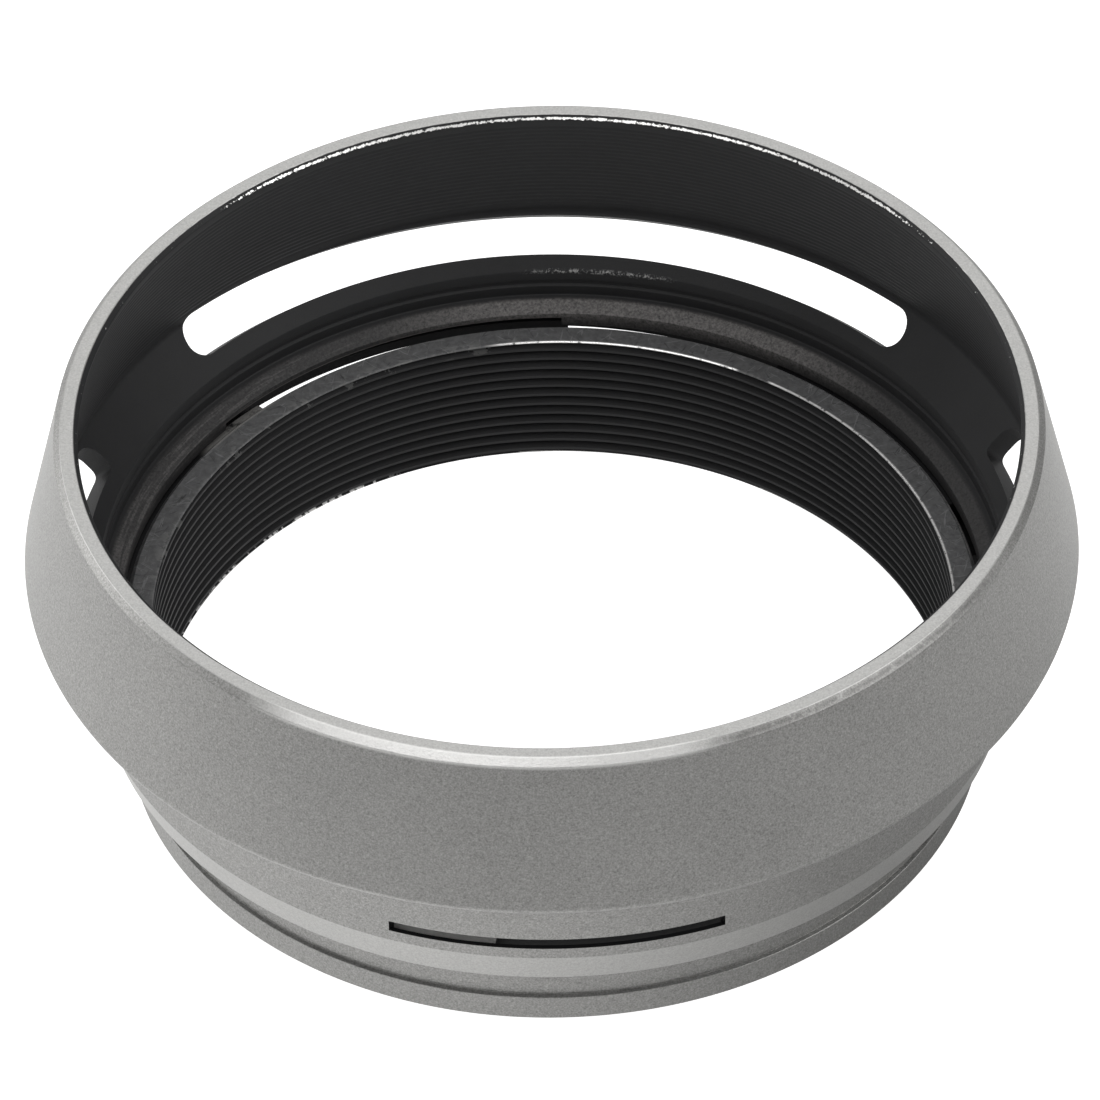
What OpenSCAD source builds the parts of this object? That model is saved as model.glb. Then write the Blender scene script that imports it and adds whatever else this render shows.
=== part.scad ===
// Vented lens hood with a bayonet, locked on its adapter ring.
// The adapter ring screws onto a lens and takes a filter in front; the hood twists on over it.
// Millimetres, +Z towards the front of the lens, origin at the centre of the adapter's rear face.
// Angles are measured from +X towards +Y, so the front slot (-Y side) is centred on -90 degrees.

/* [Thread] */
// Nominal diameter of the lens and filter thread
thread_d = 49; // [48:0.5:49]
// Pitch of the thread
thread_pitch = 0.75; // [0.5:0.25:1]
// Height of the adapter's barrel, threaded right through
barrel_h = 9.15; // [8.9:0.05:9.3]

/* [Adapter ring] */
// Outer diameter of the barrel that the hood slides over
barrel_d = 51.5; // [51.4:0.05:51.55]
// Outer diameter of the grip flange at the rear
flange_d = 52; // [51.8:0.1:53]
// Height of the grip flange
flange_h = 2.05; // [1.5:0.05:3]
// Outer diameter over the bayonet lugs
lug_d = 54.2; // [53.6:0.1:54.3]
// Height of a lug's rear face
lug_z0 = 7.2; // [7.2:0.02:7.3]
// Height of a lug's front face
lug_z1 = 8.65; // [8.5:0.05:8.7]

/* [Hood] */
// Overall height from the adapter's rear face to the rim
overall_h = 24.3; // [23:0.1:26]
// Diameter of the opening at the rim
mouth_d = 55.6; // [55:0.1:57]
// Outer diameter of the rim, at the foot of its chamfer
rim_d = 58.5; // [58.2:0.1:60]
// Largest diameter, at the edge of the flare
flare_d = 63; // [62:0.1:64]
// Height of the largest diameter
flare_z = 14.5; // [14:0.1:15]
// Outer diameter of the collar
collar_d = 56.2; // [56:0.1:56.8]
// Height of the hood's rear face
hood_z0 = 5.2; // [4.5:0.1:6]
// Bore of the collar, which the lugs turn in
collar_bore_d = 54.6; // [54.5:0.1:54.8]

/* [Vents and slots] */
// Number of long vents around the rear of the flare
vent_count = 3; // [2:1:3]
// Width of a vent, measured along the rear cone
vent_w = 2.45; // [1.5:0.05:2.5]
// Angle from one end of a vent to the other
vent_span = 99; // [40:1:100]
// Height of the narrow front slot
slot_h = 0.75; // [0.5:0.05:0.8]
// Angle that the front slot covers
slot_span = 40.6; // [20:0.2:50]
// Height of the lower of the two rear windows in the collar
window_h = 1.5; // [1:0.05:1.5]
// Angle that the wider of the two rear windows covers
window_span = 31; // [10:1:31]

/* [Twist lock] */
// Angle that each lug and each claw covers
claw_span = 37; // [30:1:38]

/* [Hidden] */
$fn = 96;
// How far a cutting shape runs past what it cuts
past = 1;

// Thread: an internal metric thread is cut 0.5413 of its pitch deep, so the bore stands at its crests
thread_r = thread_d / 2 - 0.5413 * thread_pitch;
lead_in = 0.1;
rear_edge = 0.1;

// Adapter ring
barrel_r = barrel_d / 2;
barrel_chamfer = 0.25;
flange_r = flange_d / 2;
flange_foot = 0.35;
flange_edge = 0.15;
relief_depth = 0.1;

// Lugs: unevenly spaced, so that the hood goes on in one position only
lug_at = [38.5, 151.5, -116.5];
lug_chamfer = 0.7;
lug_root = 0.4;

// Claws inside the hood, which turn in behind the lugs
claw_clearance = 0.08;
claw_z1 = lug_z0 - 0.1;
claw_root = 0.1;
// The claw to the right reaches a little further than its lug
claw_extra = [7, 0, 0];

// Shoulder inside the hood, which stands over the front faces of the lugs
shoulder_r = 26;
shoulder_z0 = 8.94;
shoulder_z1 = 9.85;
shoulder_top = 10.3;
throat_r = 27.2;

// Turned shell of the hood
rim_chamfer = 0.4;
mouth_chamfer = 0.3;
collar_r = collar_d / 2;
bore_r = collar_bore_d / 2;
foot_r = 27.45;
foot_z = 7.45;
flare_r = flare_d / 2;
inner_flare_r = flare_r - 1.6;
inner_flare_z = flare_z + 0.5;

// The rear cone of the flare slopes at 45 degrees, inside and outside
rear_cone_z = flare_z - (flare_r - collar_r);
throat_z = inner_flare_z - (inner_flare_r - throat_r);

// Vents: cut square to the rear cone, about a point in the middle of its wall
vent_r = 29.3;
vent_z = 13.45;
vent_depth = 6;

// Slot in the front of the collar, just above its tapered foot
slot_z0 = 8.2;
slot_at = -90.3;

// The collar's wall is thinned from inside at the slot, which lets the strip under the slot flex
thin_r = 27.8;
thin_z0 = 7.5;
thin_z1 = 9;

// Two windows in the rear of the collar, between a pair of claws, and the recess above one of them
window_z0 = 6;
window_at = [78.75, 117];
window_share = [0.55, 1];
window_extra_h = [0.1, 0];
recess_r = 27.45;
recess_z0 = 8.15;
recess_z1 = 9.5;
recess_at = 114;
recess_span = 52;

// Outline of a sector of a circle, reaching past the outside of the hood
module sector(span, at) {
  steps = 8;
  r = flare_d;
  arc = [for (i = [0 : steps]) let (a = at - span / 2 + span * i / steps) [r * cos(a), r * sin(a)]];
  polygon(concat([[0, 0]], arc));
}

// What a turned shape keeps within one angle
module turned_sector(span, at, height) {
  intersection() {
    rotate_extrude() children();
    linear_extrude(height) sector(span, at);
  }
}

// Rectangular section between two radii and two heights
module band(r_in, r_out, z0, z1) {
  translate([r_in, z0]) square([r_out - r_in, z1 - z0]);
}

// One bayonet lug, chamfered at its front outer edge
module lug(at) {
  tip_r = lug_d / 2;
  turned_sector(claw_span, at, barrel_h) polygon([
    [barrel_r - lug_root, lug_z0],
    [tip_r, lug_z0],
    [tip_r, lug_z1 - lug_chamfer],
    [tip_r - lug_chamfer, lug_z1],
    [barrel_r - lug_root, lug_z1]
  ]);
}

// Section of the adapter ring: grip flange, relief groove and threaded barrel
module adapter_section() {
  relief_r = barrel_r - relief_depth;
  polygon([
    [thread_r + rear_edge, 0],
    [flange_r - flange_foot, 0],
    [flange_r, flange_foot],
    [flange_r, flange_h - flange_edge],
    [flange_r - flange_edge, flange_h],
    [relief_r, flange_h],
    [relief_r, flange_h + relief_depth],
    [barrel_r, flange_h + 2 * relief_depth],
    [barrel_r, barrel_h - barrel_chamfer],
    [barrel_r - barrel_chamfer, barrel_h],
    [thread_r + lead_in, barrel_h],
    [thread_r, barrel_h - lead_in],
    [thread_r, rear_edge]
  ]);
}

// Adapter ring, with its three lugs
module adapter_ring() {
  color("dimgray") union() {
    rotate_extrude() adapter_section();
    for (at = lug_at) lug(at);
  }
}

// Section of the hood's turned shell, from the foot of the collar up to the rim
module hood_section() {
  rim_r = rim_d / 2;
  mouth_r = mouth_d / 2;
  polygon([
    [bore_r, hood_z0],
    [foot_r, hood_z0],
    [collar_r, foot_z],
    [collar_r, rear_cone_z],
    [flare_r, flare_z],
    [rim_r, overall_h - rim_chamfer],
    [rim_r - rim_chamfer, overall_h],
    [mouth_r + mouth_chamfer, overall_h],
    [mouth_r, overall_h - mouth_chamfer],
    [inner_flare_r, inner_flare_z],
    [throat_r, throat_z],
    [throat_r, shoulder_top],
    [shoulder_r, shoulder_z1],
    [shoulder_r, shoulder_z0],
    [bore_r, shoulder_z0]
  ]);
}

// One long vent: a slot with round ends, cut square to the rear cone
module vent(at) {
  end = vent_span / 2 - asin(vent_w / 2 / vent_r);
  half_w = vent_w / sqrt(2);
  reach = vent_depth / 2;
  turned_sector(2 * end, at, overall_h) polygon([
    [vent_r - reach, vent_z + reach - half_w],
    [vent_r + reach, vent_z - reach - half_w],
    [vent_r + reach, vent_z - reach + half_w],
    [vent_r - reach, vent_z + reach + half_w]
  ]);
  for (side = [-1, 1])
    rotate([0, 0, at + side * end]) translate([vent_r, 0, vent_z]) rotate([0, 135, 0])
      cylinder(h = vent_depth, d = vent_w, center = true);
}

// Hood: turned shell with vents, slot, windows and recess, and three claws inside its collar
module lens_hood() {
  color("silver") union() {
    difference() {
      rotate_extrude() hood_section();
      for (i = [0 : vent_count - 1]) vent(90 + i * 360 / vent_count);
      turned_sector(slot_span, slot_at, overall_h)
        band(bore_r - past, collar_r + past, slot_z0, slot_z0 + slot_h);
      turned_sector(slot_span, slot_at, overall_h)
        band(bore_r - past, thin_r, thin_z0, thin_z1);
      for (i = [0, 1])
        turned_sector(window_span * window_share[i], window_at[i], overall_h)
          band(bore_r - past, collar_r + past, window_z0, window_z0 + window_h + window_extra_h[i]);
      turned_sector(recess_span, recess_at, overall_h)
        band(shoulder_r - past, recess_r, recess_z0, recess_z1);
    }
    for (i = [0 : 2])
      turned_sector(claw_span + claw_extra[i], lug_at[i] - claw_extra[i] / 2, overall_h)
        band(barrel_r + claw_clearance, bore_r + claw_root, hood_z0, claw_z1);
  }
}

adapter_ring();
lens_hood();
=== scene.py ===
"""Lens hood on its adapter ring: detailed meshes, materials, light and camera."""

from math import acos, atan2, copysign, cos, degrees, hypot, pi, radians, sin, sqrt, tan

import bmesh
import bpy
import numpy as np
from mathutils import Matrix, Vector


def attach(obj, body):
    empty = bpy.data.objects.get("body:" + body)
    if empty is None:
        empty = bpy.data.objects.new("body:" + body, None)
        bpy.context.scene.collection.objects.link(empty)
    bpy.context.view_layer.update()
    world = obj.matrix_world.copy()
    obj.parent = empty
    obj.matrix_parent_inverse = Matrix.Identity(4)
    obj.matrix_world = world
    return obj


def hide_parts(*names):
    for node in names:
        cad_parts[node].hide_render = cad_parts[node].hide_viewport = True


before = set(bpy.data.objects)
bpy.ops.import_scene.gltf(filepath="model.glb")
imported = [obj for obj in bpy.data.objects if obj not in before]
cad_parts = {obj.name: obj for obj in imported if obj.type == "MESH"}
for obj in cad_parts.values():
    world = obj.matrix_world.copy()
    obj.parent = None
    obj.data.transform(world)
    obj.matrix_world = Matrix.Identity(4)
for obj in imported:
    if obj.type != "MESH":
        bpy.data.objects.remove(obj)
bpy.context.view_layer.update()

MM = 0.001
SEGMENTS = 480

# Sizes in millimetres and angles in degrees, as in the CAD part to within 0.1 mm
# Adapter: thread, barrel, flange and lugs
PITCH = 0.75
THREAD_MAJOR = 24.5
THREAD_MINOR = THREAD_MAJOR - 0.5413 * PITCH
MOUTH_R = 24.18
REAR_R = 24.12
BARREL_H = 9.15
BARREL_R = 25.75
BARREL_CHAMFER = 0.25
FLANGE_R = 26.0
FLANGE_H = 2.05
FLANGE_FOOT = 0.35
LUG_R = 27.1
LUG_Z0, LUG_Z1 = 7.2, 8.65
LUG_CHAMFER = 0.7
LUG_ROOT = 0.4
LUGS = (38.5, 151.5, -116.5)
LUG_SPAN = 37
# The barrel is bare below this height, and coated black above it
COAT_Z = 5.6

# Hood: foot, collar, flare and rim
HOOD_Z0 = 5.2
FOOT_R, FOOT_Z = 27.45, 7.45
COLLAR_R = 28.1
COLLAR_BORE = 27.3
REAR_CONE_Z = 11.1
FLARE_R, FLARE_Z = 31.5, 14.5
RIM_R, RIM_Z = 29.26, 23.88
RIM_TOP_R = 28.86
TOP_Z = 24.3
MOUTH_EDGE_R, MOUTH_EDGE_Z = 27.8, 24.0
THROAT_R, THROAT_Z = 27.2, 12.3
SHOULDER_R, SHOULDER_Z0, SHOULDER_Z1 = 26.0, 8.94, 9.85

# Claws: the one to the right reaches a little further than its lug
CLAW_R, CLAW_ROOT_R = 25.83, 27.4
CLAW_Z0, CLAW_Z1 = 5.22, 7.1
CLAW_EXTRA = (7, 0, 0)

# Vents: cut square to the rear cone, about a point in the middle of its wall; the front two are shorter
VENT_R, VENT_Z = 29.3, 13.45
VENT_W = 2.45
VENT_SPAN = 99
FRONT_VENT_SPAN = 97.4
HALF_WALL = 1.13

# Slot and windows: how far their cuts reach through the collar's wall, and where the slot is
CUT_R0, CUT_R1 = 26.6, 29
SLOT_AT, SLOT_SPAN = -90.3, 40.6
COS_45 = sqrt(0.5)


# ---------------------------------------------------------------- profiles


def rounded(corners, support=0.05):
    """A closed outline from (r, z, fillet radius) corners, with a row of points beside each fillet."""
    fillet_step = 13
    out = []
    n = len(corners)
    for i, (r, z, fillet) in enumerate(corners):
        before, after = corners[i - 1], corners[(i + 1) % n]
        if fillet == 0:
            out.append((r, z))
            continue
        a = np.array(before[:2]) - (r, z)
        b = np.array(after[:2]) - (r, z)
        room_a, room_b = hypot(*a), hypot(*b)
        a, b = a / room_a, b / room_b
        half = acos(max(-1.0, min(1.0, float(a @ b)))) / 2
        reach = fillet / tan(half)
        middle = (a + b) / hypot(*(a + b))
        centre = np.array((r, z)) + middle * fillet / sin(half)
        start, end = np.array((r, z)) + a * reach, np.array((r, z)) + b * reach
        if room_a > 3 * (reach + support):
            out.append(tuple(start + a * support))
        first = atan2(*(start - centre)[::-1])
        turn = (atan2(*(end - centre)[::-1]) - first + pi) % (2 * pi) - pi
        steps = max(2, round(abs(degrees(turn)) / fillet_step))
        for k in range(steps + 1):
            angle = first + turn * k / steps
            out.append((centre[0] + fillet * cos(angle), centre[1] + fillet * sin(angle)))
        if room_b > 3 * (reach + support):
            out.append(tuple(end + b * support))
    return out


def grooved(start, end, pitch, depth, per_turn=6):
    """Points of a finely turned wall between two (r, z) points; the grooves go into the wall on its left."""
    start, end = np.array(start), np.array(end)
    length = hypot(*(end - start))
    along = (end - start) / length
    into = np.array((-along[1], along[0]))
    turns = int(length / pitch)
    out = []
    for k in range(turns * per_turn + 1):
        p = start + along * (k / per_turn * pitch + (length - turns * pitch) / 2)
        out.append((*(p + into * depth * (0.5 - 0.5 * cos(2 * pi * k / per_turn))), 0))
    return out


def mesh_object(name, vertices, faces):
    """An object made from vertices in millimetres."""
    mesh = bpy.data.meshes.new(name)
    mesh.from_pydata([tuple(v) for v in np.asarray(vertices) * MM], [], faces)
    mesh.validate()
    piece = bpy.data.objects.new(name, mesh)
    bpy.context.scene.collection.objects.link(piece)
    return piece


def lathe(name, outline):
    """A closed outline of (r, z) points turned about Z."""
    angles = np.arange(SEGMENTS) * 2 * pi / SEGMENTS
    outline = np.array(outline)
    vertices = np.stack(
        [
            np.outer(outline[:, 0], np.cos(angles)),
            np.outer(outline[:, 0], np.sin(angles)),
            np.repeat(outline[:, 1:], SEGMENTS, 1),
        ],
        2,
    ).reshape(-1, 3)
    faces = []
    for i in range(len(outline)):
        k = (i + 1) % len(outline)
        for j in range(SEGMENTS):
            m = (j + 1) % SEGMENTS
            faces.append((i * SEGMENTS + j, i * SEGMENTS + m, k * SEGMENTS + m, k * SEGMENTS + j))
    return mesh_object(name, vertices, faces)


def sector(name, outline, at, span, fall=0.0):
    """A closed outline of (r, z) points turned through one angle, with flat ends.

    Its first end is lower than its last by fall.
    """
    degrees_per_step = 1.1
    steps = max(2, round(span / degrees_per_step))
    angles = np.radians(at - span / 2 + span * np.arange(steps + 1) / steps)
    n = len(outline)
    vertices = [
        (r * cos(a), r * sin(a), z - fall * (1 - s / steps))
        for s, a in enumerate(angles)
        for r, z in outline
    ]
    faces = [tuple(range(n)), tuple(reversed([steps * n + k for k in range(n)]))]
    for s in range(steps):
        for k in range(n):
            m = (k + 1) % n
            faces.append((s * n + m, s * n + k, (s + 1) * n + k, (s + 1) * n + m))
    return mesh_object(name, vertices, faces)


def band(r0, r1, z0, z1):
    """A rectangular section between two radii and two heights."""
    return [(r0, z0), (r1, z0), (r1, z1), (r0, z1)]


def vent_cutter(name, at, span, tilt=0.0, bow_up=0.0, bow_down=0.0, corner=1.0):
    """A round-ended slot square to the rear cone, a little wider where it meets each face of the wall.

    A corner under 1 makes the lower half of each end squarer.
    """
    half_l = radians(span) / 2 * VENT_R - VENT_W / 2
    steps, end_steps = 100, 16
    # each point: place along the slot, share of half its width sideways, and share of it endways
    outline = []
    for way in (1, -1):
        for k in range(steps + 1):
            outline.append((way * (half_l - 2 * half_l * k / steps), way, 0))
        for k in range(1, end_steps):
            a = pi * k / end_steps
            share = corner if way * cos(a) < -1e-9 else 1.0
            side = copysign(abs(cos(a)) ** share, cos(a))
            outline.append((-way * half_l, way * side, -way * sin(a) ** share))
    flared = [(HALF_WALL - 0.02, 0.0), (HALF_WALL + 0.12, 0.12), (HALF_WALL + 2, 0.9)]
    levels = [(-depth, grow) for depth, grow in reversed(flared)] + flared
    vertices = []
    for depth, grow in levels:
        w = VENT_W / 2 + grow * 0.55
        for u, s, e in outline:
            x = u + e * w
            t = x / half_l
            bow = (bow_up if s > 0 else bow_down) * (1.25 if t > 0 else 0.75)
            across = s * w + tilt * t + s * bow * t * t
            r = VENT_R + (across + depth) * COS_45
            a = radians(at) + x / VENT_R
            vertices.append((r * cos(a), r * sin(a), VENT_Z + (across - depth) * COS_45))
    n = len(outline)
    last = (len(levels) - 1) * n
    far = steps + end_steps
    faces = []
    for base in (0, last):
        caps = [(k, k + 1, far + steps - k - 1, far + steps - k) for k in range(steps)]
        caps += [tuple(range(steps, far + 1)), (*range(far + steps, n), 0)]
        faces += [tuple(base + k for k in (cap if base == 0 else reversed(cap))) for cap in caps]
    for s in range(len(levels) - 1):
        for k in range(n):
            m = (k + 1) % n
            faces.append((s * n + m, s * n + k, (s + 1) * n + k, (s + 1) * n + m))
    return mesh_object(name, vertices, faces)


def outward(piece):
    """Turns every face of a closed mesh outwards."""
    bm = bmesh.new()
    bm.from_mesh(piece.data)
    bmesh.ops.recalc_face_normals(bm, faces=bm.faces)
    bm.to_mesh(piece.data)
    bm.free()


def weld(piece):
    """Joins vertices that lie in one place, and turns every face outwards."""
    bm = bmesh.new()
    bm.from_mesh(piece.data)
    bmesh.ops.remove_doubles(bm, verts=bm.verts, dist=1e-3 * MM)
    bmesh.ops.recalc_face_normals(bm, faces=bm.faces)
    bm.to_mesh(piece.data)
    bm.free()


def combine(piece, others, operation):
    """Cuts others from piece or joins them to it, and removes them."""
    for other in others:
        outward(other)
        modifier = piece.modifiers.new("cut", "BOOLEAN")
        modifier.operation = operation
        modifier.solver = "MANIFOLD"
        modifier.object = other
    graph = bpy.context.evaluated_depsgraph_get()
    mesh = bpy.data.meshes.new_from_object(piece.evaluated_get(graph))
    piece.modifiers.clear()
    piece.data = mesh
    for other in others:
        bpy.data.objects.remove(other)


# ---------------------------------------------------------------- hood


def hood_outline():
    """Section of the hood: up its outside, over the rim and down its finely turned inside."""
    groove_r = THROAT_R + 0.16
    corners = [
        (COLLAR_BORE, HOOD_Z0, 0.04),
        (FOOT_R, HOOD_Z0, 0.05),
        (COLLAR_R, FOOT_Z, 0.12),
        (COLLAR_R, REAR_CONE_Z, 0.25),
        (FLARE_R, FLARE_Z, 0.32),
        (RIM_R, RIM_Z, 0.1),
        (RIM_TOP_R, TOP_Z, 0.07),
        (MOUTH_EDGE_R + 0.29, TOP_Z, 0.05),
        (MOUTH_EDGE_R, MOUTH_EDGE_Z, 0.06),
    ]
    corners += grooved((MOUTH_EDGE_R + 0.095, 23.6), (29.77, 15.55), 0.37, 0.03)
    corners += [
        (29.9, 15.0, 0.35),
        (THROAT_R, THROAT_Z, 0.12),
        (THROAT_R, 11.6, 0.05),
        (groove_r, 11.5, 0.03),
        (groove_r, 11.2, 0.03),
        (THROAT_R, 11.1, 0.05),
        (THROAT_R, 10.42, 0.1),
        (26.75, 10.3, 0.05),
        (SHOULDER_R, SHOULDER_Z1, 0.04),
        (SHOULDER_R, SHOULDER_Z0, 0.04),
        (COLLAR_BORE, SHOULDER_Z0, 0.04),
    ]
    return rounded(corners)


def build_hood():
    """The turned shell, cut by its vents, slot, windows and recess, and then given its claws."""
    hood = lathe("LensHood", hood_outline())
    outward(hood)
    cutters = [
        vent_cutter("vent_back", 90, VENT_SPAN, tilt=0.2, bow_up=0.26),
        vent_cutter("vent_left", 210, FRONT_VENT_SPAN, corner=0.4),
        vent_cutter("vent_right", 330, FRONT_VENT_SPAN, bow_down=0.12, corner=0.4),
        sector("slot", band(CUT_R0, CUT_R1, 8.2, 8.95), SLOT_AT, SLOT_SPAN),
        sector("thinned_wall", band(27, 27.8, 7.5, 9), SLOT_AT, SLOT_SPAN),
        sector("window_right", band(CUT_R0, CUT_R1, 6, 7.71), 78.75, 17.05, fall=0.24),
        sector("window_left", band(CUT_R0, CUT_R1, 6, 7.5), 117, 31),
        sector("recess", band(25, 27.45, 8.15, 9.5), 114, 52),
    ]
    combine(hood, cutters, "DIFFERENCE")
    claw_section = band(CLAW_R, CLAW_ROOT_R, CLAW_Z0, CLAW_Z1)
    claws = [
        sector(f"claw_{i}", claw_section, at - extra / 2, LUG_SPAN + extra)
        for i, (at, extra) in enumerate(zip(LUGS, CLAW_EXTRA))
    ]
    combine(hood, claws, "UNION")
    return hood


# ---------------------------------------------------------------- adapter


def thread_radius(phase):
    """Radius of the internal thread at a share of one pitch: crest, flank, root, flank."""
    phase = phase % 1.0
    crest, root = 0.25, 0.125
    flank = (1 - crest - root) / 2
    rise = np.clip((phase - crest) / flank, 0, 1) * np.clip((1 - phase) / flank, 0, 1)
    return THREAD_MINOR + (THREAD_MAJOR - THREAD_MINOR) * rise


def build_adapter():
    """Outer rows are turned; the bore's rows climb one pitch per turn, so that they lie along the thread."""
    profile = rounded(
        [
            (REAR_R, 0, 0),
            (FLANGE_R - FLANGE_FOOT, 0, 0.06),
            (FLANGE_R, FLANGE_FOOT, 0.06),
            (FLANGE_R, FLANGE_H - 0.06, 0.06),
            (BARREL_R - 0.03, FLANGE_H + 0.02, 0.02),
            (BARREL_R, FLANGE_H + 0.12, 0.03),
            (BARREL_R, COAT_Z, 0),
            (BARREL_R, BARREL_H - BARREL_CHAMFER, 0.04),
            (BARREL_R - BARREL_CHAMFER, BARREL_H, 0.04),
            (MOUTH_R, BARREL_H, 0.05),
            (MOUTH_R - 0.07, BARREL_H - 0.08, 0),
        ]
    )
    angles = np.arange(SEGMENTS) * 2 * pi / SEGMENTS
    rows = [np.stack([r * np.cos(angles), r * np.sin(angles), np.full(SEGMENTS, z)], 1) for r, z in profile]
    vertices = list(np.concatenate(rows))
    faces = []
    for i in range(len(profile) - 1):
        for j in range(SEGMENTS):
            m = (j + 1) % SEGMENTS
            faces.append((i * SEGMENTS + j, i * SEGMENTS + m, (i + 1) * SEGMENTS + m, (i + 1) * SEGMENTS + j))
    (r_low, z_low), (r_high, z_high) = profile[0], profile[-1]
    # places within one pitch: three on the crest, and the rest on the flanks and the root
    shares = (0, 0.125, 0.25, 0.354, 0.458, 0.5625, 0.625, 0.6875, 0.79, 0.896)
    starts = [(turn + share) * PITCH for turn in range(-1, int(BARREL_H / PITCH) + 3) for share in shares]
    touch = 1e-9
    base = len(vertices)
    for z0 in starts:
        z = z0 + PITCH * angles / (2 * pi)
        clamped = np.clip(z, z_low, z_high)
        run_out = np.minimum(r_low + 1.5 * (clamped - z_low), r_high + 1.5 * (z_high - clamped))
        r = np.minimum(thread_radius(z0 / PITCH), run_out)
        r = np.where(z_high - clamped <= touch, r_high, r)
        r = np.where(clamped - z_low <= touch, r_low, r)
        vertices.extend(np.stack([r * np.cos(angles), r * np.sin(angles), clamped], 1))
    per_turn = len(shares)
    for i in range(len(starts) - 1):
        for j in range(SEGMENTS - 1):
            a, b = base + i * SEGMENTS + j, base + (i + 1) * SEGMENTS + j
            faces.append((a, b, b + 1, a + 1))
    # where a turn closes, its last column meets the first column one pitch higher
    for i in range(len(starts) - 1 - per_turn):
        a, b = base + (i + 1) * SEGMENTS - 1, base + (i + 2) * SEGMENTS - 1
        low, high = base + (i + per_turn) * SEGMENTS, base + (i + 1 + per_turn) * SEGMENTS
        faces.append((a, b, high, low))
    adapter = mesh_object("AdapterRing", vertices, faces)
    weld(adapter)
    lug_section = [
        (BARREL_R - LUG_ROOT, LUG_Z0),
        (LUG_R, LUG_Z0),
        (LUG_R, LUG_Z1 - LUG_CHAMFER),
        (LUG_R - LUG_CHAMFER, LUG_Z1),
        (BARREL_R - LUG_ROOT, LUG_Z1),
    ]
    lugs = [sector(f"lug_{i}", lug_section, at, LUG_SPAN) for i, at in enumerate(LUGS)]
    combine(adapter, lugs, "UNION")
    return adapter


# ---------------------------------------------------------------- surface zones


def face_table(mesh):
    """Radius, height, radial and vertical parts of the normal, and y of each face, in millimetres."""
    centres = np.zeros(len(mesh.polygons) * 3)
    normals = np.zeros(len(mesh.polygons) * 3)
    mesh.polygons.foreach_get("center", centres)
    mesh.polygons.foreach_get("normal", normals)
    centres, normals = centres.reshape(-1, 3) / MM, normals.reshape(-1, 3)
    r = np.hypot(centres[:, 0], centres[:, 1])
    radial = (normals[:, :2] * centres[:, :2]).sum(1) / np.maximum(r, 1e-9)
    return r, centres[:, 2], radial, normals[:, 2], centres[:, 1]


def corner_table(mesh):
    """Face index and height of each face corner."""
    face = np.repeat(np.arange(len(mesh.polygons)), [p.loop_total for p in mesh.polygons])
    vertex = np.zeros(len(mesh.loops), int)
    mesh.loops.foreach_get("vertex_index", vertex)
    co = np.zeros(len(mesh.vertices) * 3)
    mesh.vertices.foreach_get("co", co)
    return face, co.reshape(-1, 3)[vertex, 2] / MM


def hood_coat(mesh):
    """Black coat at each face corner: 1 inside, 0 outside, and fading over the rim's inner edge."""
    r, z, radial, up, _ = face_table(mesh)
    outside_wall = [
        (HOOD_Z0, FOOT_R),
        (FOOT_Z, COLLAR_R),
        (REAR_CONE_Z, COLLAR_R),
        (FLARE_Z, FLARE_R),
        (RIM_Z, RIM_R),
        (TOP_Z, RIM_TOP_R),
    ]
    outer_r = np.interp(z, *zip(*outside_wall))
    # vertical part of that wall's normal by height: foot, collar, rear cone, flare, rim chamfer
    foot_lean, cone_lean, flare_lean, chamfer_lean = -0.24, -0.707, 0.217, 0.707
    leans = [
        (7.4, foot_lean),
        (7.5, 0),
        (11.05, 0),
        (11.15, cone_lean),
        (14.4, cone_lean),
        (14.6, flare_lean),
        (23.8, flare_lean),
        (23.96, chamfer_lean),
    ]
    lean = np.interp(z, *zip(*leans))
    facing = radial * np.sqrt(1 - lean**2) + up * lean
    wall = (r > outer_r - 0.2) & (facing > 0.6)
    rim = (z > 23.95) & (radial > -0.9)
    underside = (z < HOOD_Z0 + 0.1) & (up < -0.5) & (r > 27.2)
    inner_rim = (z > 23.95) & (r < 28.13)
    face, corner_z = corner_table(mesh)
    coat = np.where((wall | rim | underside)[face], 0.0, 1.0)
    fade = np.clip((TOP_Z + 0.02 - corner_z) / 0.12, 0, 1)
    return np.where(inner_rim[face], fade, coat)


def adapter_zones(mesh):
    """Black coat, and the rubbed front face, at each face corner: 1 or 0."""
    r, z, radial, up, y = face_table(mesh)
    front = (z > BARREL_H - 0.3) & (up > 0.3) & ((r > 25) | (z > BARREL_H - 0.12))
    bore = (r < THREAD_MAJOR + 0.02) & (radial < 0.5) & (z > 0.02) & ~front
    # the barrel inside the hood, and every lug but the one behind the slot
    hidden = (z > COAT_Z) & ((r < BARREL_R + 0.02) | (y > -20))
    face, _ = corner_table(mesh)
    return np.where((bore | front | hidden)[face], 1.0, 0.0), np.where(front[face], 1.0, 0.0)


def store(mesh, name, values):
    """Keeps one number for each face corner, which the materials read by its name."""
    attribute = mesh.attributes.new(name, "FLOAT", "CORNER")
    attribute.data.foreach_set("value", np.asarray(values, np.float32))


def finish_mesh(piece, material, body, node):
    """Gives a piece its material and smooth shading, and ties it to its node."""
    piece.data.materials.clear()
    piece.data.materials.append(material)
    piece.data.shade_smooth()
    piece.data.set_sharp_from_angle(angle=radians(28))
    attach(piece, body)
    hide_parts(node)


# ---------------------------------------------------------------- materials


BUMP_HEIGHT = 0.012
SATIN = (0.292, 0.290, 0.282)
BARE_METAL = (0.78, 0.775, 0.76)


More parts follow.
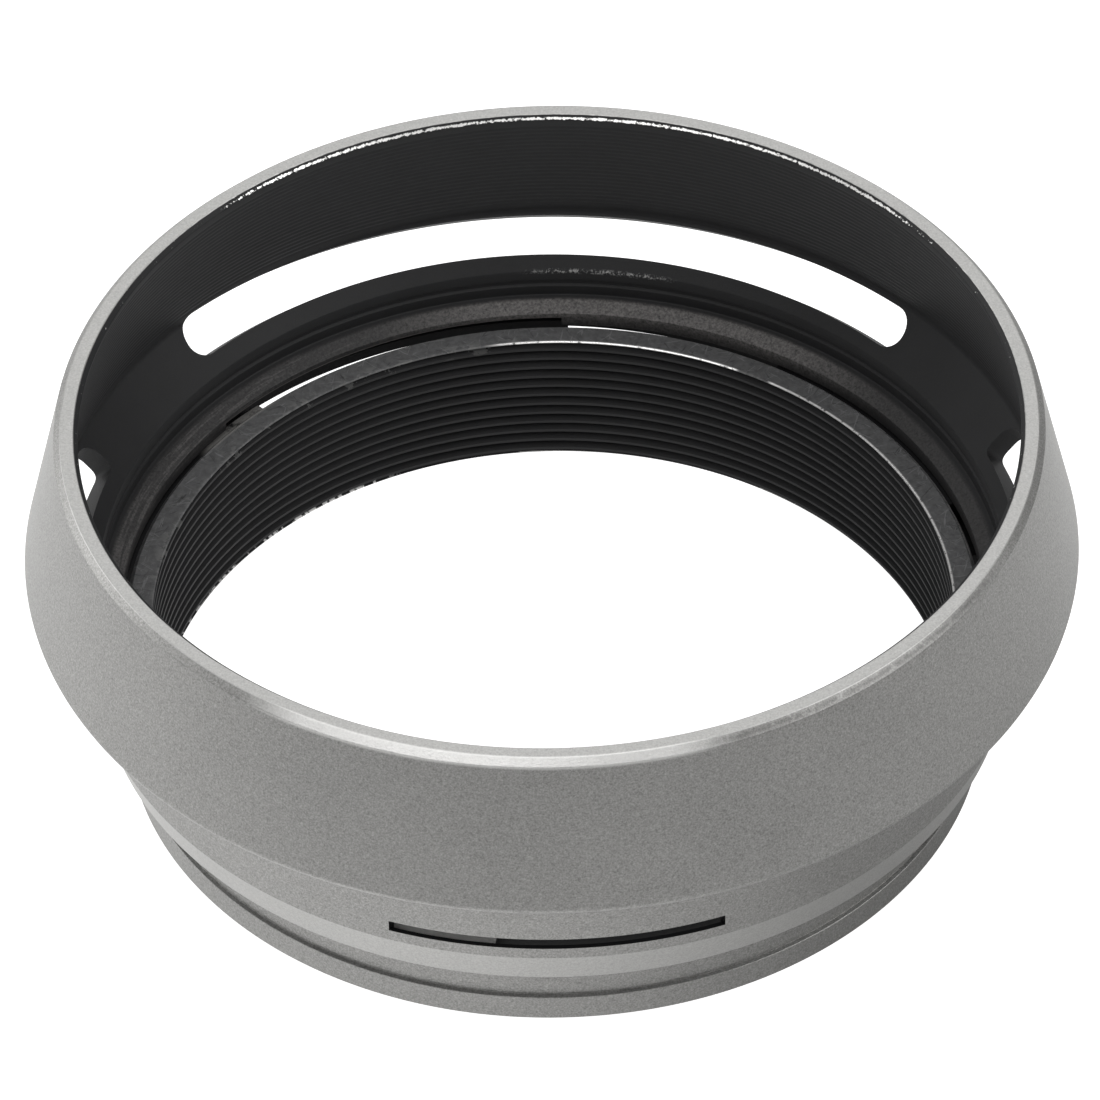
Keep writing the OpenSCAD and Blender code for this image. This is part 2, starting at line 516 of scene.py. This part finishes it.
class Shader:
    """A node material; positions are in millimetres about the axis of the lens."""

    def __init__(self, name):
        self.material = bpy.data.materials.new(name)
        self.material.use_nodes = True
        self.tree = self.material.node_tree
        self.tree.nodes.clear()
        self.place = self.scaled(self.tree.nodes.new("ShaderNodeTexCoord").outputs["Object"], 1 / MM)
        split = self.tree.nodes.new("ShaderNodeSeparateXYZ")
        self.tree.links.new(self.place, split.inputs[0])
        self.x, self.y, self.z = split.outputs
        self.r = self.length(self.x, self.y)
        self.angle = self.math("MULTIPLY", self.math("ARCTAN2", self.y, self.x), 180 / pi)

    def put(self, socket, value):
        """Links a socket to a socket, or sets a number or colour on it."""
        if isinstance(value, bpy.types.NodeSocket):
            self.tree.links.new(value, socket)
        elif isinstance(value, (tuple, list)) and len(value) == 3 and socket.type == "RGBA":
            socket.default_value = (*value, 1)
        else:
            socket.default_value = value

    def math(self, operation, a, b=None, clamp=False):
        n = self.tree.nodes.new("ShaderNodeMath")
        n.operation = operation
        n.use_clamp = clamp
        self.put(n.inputs[0], a)
        if b is not None:
            self.put(n.inputs[1], b)
        return n.outputs[0]

    def chain(self, operation, values):
        """One operation over all the values, from left to right."""
        out = values[0]
        for value in values[1:]:
            out = self.math(operation, out, value)
        return out

    def times(self, *values):
        return self.chain("MULTIPLY", values)

    def most(self, *values):
        return self.chain("MAXIMUM", values)

    def plus(self, *values, clamp=False):
        return self.math("ADD", self.chain("ADD", values[:-1]), values[-1], clamp)

    def less(self, a, b):
        return self.math("SUBTRACT", a, b)

    def length(self, a, b):
        """Length of a vector with these two parts."""
        return self.math("SQRT", self.plus(self.times(a, a), self.times(b, b)))

    def scaled(self, vector, factor):
        n = self.tree.nodes.new("ShaderNodeVectorMath")
        n.operation = "SCALE"
        self.put(n.inputs[0], vector)
        self.put(n.inputs["Scale"], factor)
        return n.outputs[0]

    def step(self, value, low, high, out_low=0.0, out_high=1.0):
        """A smooth change from out_low, at low, to out_high, at high."""
        n = self.tree.nodes.new("ShaderNodeMapRange")
        n.interpolation_type = "SMOOTHSTEP"
        for socket, v in zip(n.inputs, (value, low, high, out_low, out_high)):
            self.put(socket, v)
        return n.outputs[0]

    def noise(self, scale, detail, rough, vector=None):
        n = self.tree.nodes.new("ShaderNodeTexNoise")
        self.put(n.inputs["Vector"], vector or self.place)
        self.put(n.inputs["Scale"], scale)
        self.put(n.inputs["Detail"], detail)
        self.put(n.inputs["Roughness"], rough)
        return n.outputs["Fac"]

    def mapped(self, scale, turn, shift):
        """The position, turned about Z, scaled and shifted."""
        n = self.tree.nodes.new("ShaderNodeMapping")
        n.vector_type = "POINT"
        turned = self.tree.nodes.new("ShaderNodeVectorRotate")
        turned.rotation_type = "Z_AXIS"
        self.put(turned.inputs["Angle"], radians(turn))
        self.put(turned.inputs["Vector"], self.place)
        self.put(n.inputs["Vector"], turned.outputs[0])
        n.inputs["Scale"].default_value = scale
        n.inputs["Location"].default_value = shift
        return n.outputs[0]

    def polar(self, per_degree, per_r, per_z):
        """Coordinates that run round, across and along the axis."""
        n = self.tree.nodes.new("ShaderNodeCombineXYZ")
        self.put(n.inputs[0], self.times(self.angle, per_degree))
        self.put(n.inputs[1], self.times(self.r, per_r))
        self.put(n.inputs[2], self.times(self.z, per_z))
        return n.outputs[0]

    def near(self, r, z, width):
        """1 on a circle about the axis, and 0 farther from it than width."""
        distance = self.length(self.less(self.r, r), self.less(self.z, z))
        return self.step(distance, 0.0, width, 1.0, 0.0)

    def between(self, value, a, b, soft):
        """1 from a to b, fading to 0 over the width soft on each side."""
        return self.times(self.step(value, a - soft, a), self.step(value, b, b + soft, 1.0, 0.0))

    def mix_node(self, data_type, factor, a, b, first_input, output):
        n = self.tree.nodes.new("ShaderNodeMix")
        n.data_type = data_type
        self.put(n.inputs[0], factor)
        self.put(n.inputs[first_input], a)
        self.put(n.inputs[first_input + 1], b)
        return n.outputs[output]

    def mix(self, factor, a, b):
        """From colour a, at factor 0, to colour b."""
        return self.mix_node("RGBA", factor, a, b, 6, 2)

    def blend(self, factor, a, b):
        """From number a, at factor 0, to number b."""
        return self.mix_node("FLOAT", factor, a, b, 2, 0)

    def attribute(self, name):
        n = self.tree.nodes.new("ShaderNodeAttribute")
        n.attribute_name = name
        return n.outputs["Fac"]

    def finish(self, colour, metallic, roughness, height, specular):
        """The surface itself; height 1 stands BUMP_HEIGHT above height 0."""
        bump = self.tree.nodes.new("ShaderNodeBump")
        self.put(bump.inputs["Strength"], 1.0)
        self.put(bump.inputs["Distance"], BUMP_HEIGHT * MM)
        self.put(bump.inputs["Height"], height)
        bsdf = self.tree.nodes.new("ShaderNodeBsdfPrincipled")
        self.put(bsdf.inputs["Base Color"], colour)
        self.put(bsdf.inputs["Metallic"], metallic)
        self.put(bsdf.inputs["Roughness"], roughness)
        self.put(bsdf.inputs["Specular IOR Level"], specular)
        self.tree.links.new(bump.outputs[0], bsdf.inputs["Normal"])
        out = self.tree.nodes.new("ShaderNodeOutputMaterial")
        self.tree.links.new(bsdf.outputs[0], out.inputs["Surface"])
        return self.material


def satin(s):
    """Fine bead-blasted aluminium: colour, roughness and height."""
    grain = s.noise(9.0, 2.0, 0.6)
    speck = s.noise(4.5, 3.0, 0.6)
    patches = s.noise(0.16, 3.0, 0.55)
    tone = s.plus(
        s.times(s.less(grain, 0.5), 1.1),
        s.times(s.less(speck, 0.5), 0.45),
        s.times(s.less(patches, 0.5), 0.2),
        1.0,
    )
    rough = s.plus(0.38, s.times(patches, 0.1), s.times(grain, 0.08))
    return s.scaled(SATIN, tone), rough, s.plus(grain, s.times(speck, 0.6))


def black(s):
    """Matte black coat: colour, roughness and height."""
    grain = s.noise(8.0, 2.0, 0.6)
    patches = s.noise(0.3, 3.0, 0.6)
    level = s.plus(s.times(grain, 0.009), s.times(patches, 0.005))
    return s.scaled((1.0, 1.0, 1.1), level), s.plus(0.55, s.times(grain, 0.12)), grain


def hood_edge_wear_and_highlights(s, ragged, edge_noise):
    """Bare metal and painted highlights on the hood's edges: all of it, the chips, and the rim's front, which
    is polished metal and a painted highlight.
    """
    back = s.between(s.angle, 46, 124, 18)
    inner_rim = s.times(s.near(27.9, 24.09, 0.3), s.blend(back, 0.6, 1.0))
    chips = s.step(s.plus(s.times(inner_rim, 0.55), s.times(ragged, 0.9)), 0.87, 0.97)

    # the rim's outer edge is bright bare metal only at the front, where the light catches it: polished metal,
    # and a painted highlight
    front = s.between(s.angle, -119, -78, 10)
    rim_wear_and_highlight = s.math("MINIMUM", s.times(s.near(29.06, 24.09, 0.5), 2.2), 0.72)
    rim_wear_and_highlight = s.times(rim_wear_and_highlight, front, s.step(ragged, 0.2, 0.6, 0.8, 1.1))

    at_throat = s.times(s.near(THROAT_R, THROAT_Z, 0.25), s.between(s.angle, 77, 89, 5))
    throat = s.times(at_throat, s.step(ragged, 0.48, 0.62), 0.4)
    # a thin broken line of bare metal on the flare's outer edge: edge wear, and a painted highlight line
    flare_wear_and_highlight = s.times(s.near(FLARE_R - 0.05, FLARE_Z, 0.25), s.step(edge_noise, 0.2, 0.8), 0.16)
    top = s.times(s.step(s.z, TOP_Z - 0.06, TOP_Z - 0.03), 0.28)
    return s.most(chips, rim_wear_and_highlight, throat, flare_wear_and_highlight, top), chips, rim_wear_and_highlight


def hood_dust_and_ledge_highlight(s, fine):
    """Grey dust on the shoulder, most of it at the back, with a lighter line on the recess's ledge: its
    chips, and a painted highlight.
    """
    dust_noise = s.plus(s.times(s.noise(6.5, 3.0, 0.7), 0.7), s.times(fine, 0.3))
    on_shoulder = s.times(s.between(s.z, 8.6, 10.3, 0.1), s.step(s.r, 27.15, 26.7))
    dust = s.times(on_shoulder, s.step(dust_noise, 0.2, 0.75), s.step(s.z, 9.0, 9.9, 0.3, 1.0))

    streaks = s.noise(1.0, 3.0, 0.6, s.polar(0.12, 5.0, 5.0))
    from_right = s.math("ABSOLUTE", s.less(s.angle, 4.0))
    left = s.times(from_right, s.step(streaks, 0.3, 0.7, 0.4, 1.0))
    left = s.times(s.step(left, 70.0, 130.0), 0.5)
    back = s.blend(s.between(s.angle, 62, 92, 26), 0.22, 1.0)

    # the recess's ledge gets a lighter line: chips, and a painted highlight where it is lit
    ledge = s.times(s.near(SHOULDER_R, 9.5, 0.14), s.between(s.angle, 98, 138, 5), 0.5)
    return s.most(s.times(dust, s.most(back, left)), ledge)


def hood_material():
    s = Shader("hood_finish")
    silver, silver_rough, silver_height = satin(s)
    coat, coat_rough, coat_height = black(s)
    edge_noise = s.noise(1.4, 4.0, 0.65)
    fine = s.noise(3.2, 3.0, 0.6)
    ragged = s.plus(s.times(fine, 0.45), s.times(s.noise(7.0, 2.0, 0.7), 0.55))
    covered = s.step(s.plus(s.attribute("coat"), s.times(s.less(edge_noise, 0.5), 0.9)), 0.42, 0.5)
    worn_and_highlit, chips, rim_wear_and_highlight = hood_edge_wear_and_highlights(s, ragged, edge_noise)

    # the foot below the collar is made lighter, toward bare metal, and the rim's right front is stained
    foot = s.between(s.z, HOOD_Z0, 7.4, 0.06)
    rim_front = s.times(s.near(29.08, 24.07, 0.42), s.between(s.angle, -71, -34, 8))
    stain = s.times(rim_front, s.step(s.noise(2.0, 3.0, 0.65), 0.15, 0.58))

    silver = s.mix(s.times(foot, 0.24), silver, BARE_METAL)
    colour = s.mix(covered, silver, coat)
    # grey dust on the shoulder, and the painted highlight on the recess's ledge
    colour = s.mix(s.times(hood_dust_and_ledge_highlight(s, fine), 0.7), colour, (0.235, 0.222, 0.215))
    colour = s.mix(s.times(stain, 0.55), colour, (0.07, 0.068, 0.065))
    # bare metal at chips and edges, with painted highlights on the rim's front and the flare's edge
    colour = s.mix(worn_and_highlit, colour, BARE_METAL)
    metallic = s.most(s.less(1.0, covered), worn_and_highlit)
    rough = s.blend(covered, silver_rough, coat_rough)
    rough = s.blend(worn_and_highlit, rough, s.blend(rim_wear_and_highlight, 0.34, 0.44))
    height = s.blend(covered, silver_height, s.times(coat_height, 0.7))
    height = s.less(height, s.times(chips, 0.8))
    return s.finish(colour, metallic, rough, height, specular=0.36)


def scratch_lines(s, turns, threshold):
    """Thin straight scratches in several directions."""
    families = []
    for i, turn in enumerate(turns):
        lines = s.noise(1.0, 2.0, 0.55, s.mapped((6.5, 0.55, 0.5), turn, (7.3 * i, 3.1 * i, 0)))
        families.append(s.step(lines, threshold, threshold + 0.04))
    return s.most(*families)


def bore_edge_wear(s, fine):
    """Wear where the adapter's bore meets its front face: bright at the back, and dull on the left."""
    back = s.times(s.between(s.angle, -25, 95, 5), s.step(s.angle, 52, 60, 0.55, 1.0))
    gap = s.between(s.angle, 56, 60.5, 1.0)
    broken = s.step(s.noise(2.2, 3.0, 0.7), 0.34, 0.46)
    rim = s.near(MOUTH_R - 0.01, BARREL_H - 0.02, 0.12)
    bright = s.times(rim, 1.3, back, broken, s.less(1.0, gap))

    dull = s.times(s.near(MOUTH_R, BARREL_H, 0.2), s.step(fine, 0.42, 0.6), 0.6)
    flakes = s.times(
        s.near(MOUTH_R, BARREL_H - 0.1, 0.7),
        s.step(s.noise(0.8, 4.0, 0.65), 0.55, 0.58),
        s.between(s.angle, 92, 175, 5),
    )
    return bright, s.most(dull, flakes)


def adapter_material():
    s = Shader("adapter_finish")
    silver, silver_rough, silver_height = satin(s)
    coat, coat_rough, coat_height = black(s)
    edge_noise = s.noise(1.1, 4.0, 0.65)
    fine = s.noise(3.2, 3.0, 0.6)
    covered = s.step(s.plus(s.attribute("coat"), s.times(s.less(edge_noise, 0.5), 0.5)), 0.42, 0.5)

    # the front face is rubbed grey and scratched
    face = s.attribute("face")
    lines = scratch_lines(s, (12, 48, 83, 131), 0.66)
    dark_lines = scratch_lines(s, (30, 67, 110, 155), 0.68)
    rubbed = s.plus(s.times(s.noise(2.2, 4.0, 0.7), 0.75), s.times(fine, 0.35))
    tone = s.plus(0.12, s.times(rubbed, 1.1), s.times(lines, 0.4), s.times(dark_lines, -0.3))
    grey = s.scaled((0.13, 0.13, 0.132), tone)

    # bare metal at both ends of the bore, and a painted highlight on the outer edge
    bright_rim, dull_rim = bore_edge_wear(s, fine)
    nicks = s.step(s.noise(1.0, 2.0, 0.6, s.polar(0.9, 0.3, 0.3)), 0.52, 0.56)
    foot = s.times(s.near(MOUTH_R, 0, 0.35), s.between(s.angle, 118, 160, 6), nicks)
    # a broken painted highlight along the barrel's outer front edge, at the right back
    on_edge = s.times(s.near(BARREL_R - 0.1, BARREL_H - 0.1, 0.14), s.between(s.angle, 10, 60, 3))
    barrel_edge_highlight = s.times(on_edge, s.step(fine, 0.35, 0.5))
    worn_and_highlit = s.most(bright_rim, s.times(foot, 0.8), s.times(barrel_edge_highlight, 0.4))

    # the front lug, which shows through the slot, is rubbed bare metal, painted brighter and matte so that it
    # looks lit through the slot
    lug = s.times(s.step(s.r, 25.8, 25.9), s.step(s.z, 5.0, 5.1), s.step(s.angle, -90, -94))
    lug_wear_and_light = s.plus(0.45, s.times(s.noise(1.6, 3.0, 0.6), 0.6), s.times(fine, 0.3), clamp=True)
    patch = s.times(s.step(s.r, 25.3, 25.5), s.between(s.angle, 133, 143, 3), s.step(edge_noise, 0.3, 0.5))

    colour = s.mix(covered, silver, coat)
    colour = s.mix(face, colour, grey)
    colour = s.mix(s.times(dull_rim, 0.6), colour, (0.17, 0.17, 0.165))
    # bare metal where rubbed, and the painted highlight on the barrel's edge
    colour = s.mix(worn_and_highlit, colour, (0.8, 0.79, 0.78))
    # the front lug painted bright: rubbed metal, and painted light
    colour = s.mix(s.times(lug, lug_wear_and_light), colour, (0.8, 0.79, 0.77))
    colour = s.mix(s.times(patch, 0.85), colour, (0.22, 0.215, 0.205))
    metallic = s.most(s.less(1.0, covered), s.times(worn_and_highlit, 0.7))
    metallic = s.times(metallic, s.less(1.0, s.times(lug, 0.85)))
    metallic = s.most(metallic, s.times(face, 0.15))
    rough = s.blend(covered, s.plus(silver_rough, s.times(lug, 0.3)), coat_rough)
    rough = s.blend(worn_and_highlit, rough, 0.25)
    height = s.blend(covered, silver_height, s.times(coat_height, 0.8))
    height = s.less(height, s.times(face, lines, 0.5))
    return s.finish(colour, metallic, rough, height, specular=0.28)


# ---------------------------------------------------------------- assembly

hood = build_hood()
store(hood.data, "coat", hood_coat(hood.data))
finish_mesh(hood, hood_material(), "hood", "lens_hood")

adapter = build_adapter()
adapter_coat, adapter_face = adapter_zones(adapter.data)
store(adapter.data, "coat", adapter_coat)
store(adapter.data, "face", adapter_face)
finish_mesh(adapter, adapter_material(), "adapter", "adapter_ring")


# ---------------------------------------------------------------- studio


def white(name, strength):
    """A plain white surface that glows; strength makes its glow from the shader."""
    s = Shader(name)
    bsdf = s.tree.nodes.new("ShaderNodeBsdfPrincipled")
    tone = s.step(s.noise(0.02, 2.0, 0.5), 0.3, 0.7, 0.4, 0.42)
    s.put(bsdf.inputs["Base Color"], s.scaled((1.0, 1.0, 1.0), tone))
    s.put(bsdf.inputs["Roughness"], 0.9)
    s.put(bsdf.inputs["Emission Color"], (1.0, 1.0, 1.0))
    s.put(bsdf.inputs["Emission Strength"], strength(s))
    out = s.tree.nodes.new("ShaderNodeOutputMaterial")
    s.tree.links.new(bsdf.outputs[0], out.inputs["Surface"])
    return s.material


def pool(s):
    """Light that the floor throws back: less far away, at the right front, where a painted shadow of the part
    lies in it, and in front.
    """
    away = s.length(s.plus(s.x, 40.0), s.less(s.y, 10.0))
    # a painted shadow of the part, under its right side
    from_painted_shadow = s.length(s.less(s.x, 30.0), s.plus(s.y, 16.0))
    return s.times(
        s.step(away, 60.0, 170.0, 1.0, 0.25),
        s.step(from_painted_shadow, 6.0, 48.0, 0.12, 0.9),
        s.step(s.y, -62.0, -26.0, 0.62, 1.0),
    )


def panel(name, place, target, size, power):
    """A soft rectangular lamp at place, turned towards target; metres and watts."""
    light = bpy.data.lights.new(name, "AREA")
    light.shape = "RECTANGLE"
    light.size, light.size_y = size
    light.energy = power
    holder = bpy.data.objects.new(name, light)
    bpy.context.scene.collection.objects.link(holder)
    holder.location = place
    direction = Vector(target) - holder.location
    holder.rotation_euler = direction.to_track_quat("-Z", "Y").to_euler()


def sheet(name, z, material):
    """A level square sheet, 3 m wide, at height z in metres."""
    half = 1.5
    corners = [(-half, -half, 0), (half, -half, 0), (half, half, 0), (-half, half, 0)]
    mesh = bpy.data.meshes.new(name)
    mesh.from_pydata(corners, [], [(0, 1, 2, 3)])
    mesh.materials.append(material)
    piece = bpy.data.objects.new(name, mesh)
    bpy.context.scene.collection.objects.link(piece)
    piece.location.z = z
    return piece


# The white floor is only seen; the light that comes up from it is the sheet's just under it
floor = sheet("floor", -0.00002, white("white_floor", lambda s: 0.95))
floor.visible_diffuse = floor.visible_glossy = floor.visible_shadow = False
bounce = sheet("bounce", -0.0001, white("bounce_card", pool))
bounce.visible_camera = False

world = bpy.data.worlds.new("studio")
bpy.context.scene.world = world
world.use_nodes = True
background = world.node_tree.nodes["Background"]
background.inputs["Color"].default_value = (1, 1, 1, 1)
background.inputs["Strength"].default_value = 0.3

panel("top_panel", (0.0, 0.0, 0.7), (0, 0, 0), (0.8, 0.8), 2.5)
panel("back_panel", (0.0, 0.75, 0.65), (0, 0, 0.02), (0.8, 0.5), 1.6)
panel("front_panel", (-0.3, -0.54, 0.66), (0, 0, 0.02), (0.9, 0.3), 1.85)
panel("left_panel", (-0.65, 0.25, 0.22), (0, 0, 0.01), (0.5, 0.4), 1.9)
panel("right_panel", (0.6, -0.2, 0.4), (0, 0, 0.01), (0.5, 0.4), 2.2)

# Camera: a long lens from the front, well above the part and rolled a little
ELEVATION, ROLL = radians(42.562), radians(-1.175)
FOCAL_LENGTH, SENSOR_WIDTH = 272.101, 36
# The part's origin as the camera sees it: to the right, down and ahead, in millimetres
ORIGIN_SEEN = np.array([0.30965, 10.0805, 506.7])

level = np.array([1.0, 0.0, 0.0])
upright = np.array([0.0, sin(ELEVATION), cos(ELEVATION)])
ahead = np.array([0.0, cos(ELEVATION), -sin(ELEVATION)])
across = cos(ROLL) * level + sin(ROLL) * upright
up = -sin(ROLL) * level + cos(ROLL) * upright
place = -(np.array([across, -up, ahead]).T @ ORIGIN_SEEN) * MM
camera_data = bpy.data.cameras.new("camera")
camera_data.sensor_width = SENSOR_WIDTH
camera_data.lens = FOCAL_LENGTH
camera_data.clip_start, camera_data.clip_end = 0.05, 10
camera = bpy.data.objects.new("camera", camera_data)
bpy.context.scene.collection.objects.link(camera)
axes = np.stack([across, up, -ahead, place], 1)
camera.matrix_world = Matrix([*axes.tolist(), [0, 0, 0, 1]])
bpy.context.scene.camera = camera
bpy.context.scene.view_settings.view_transform = "Standard"
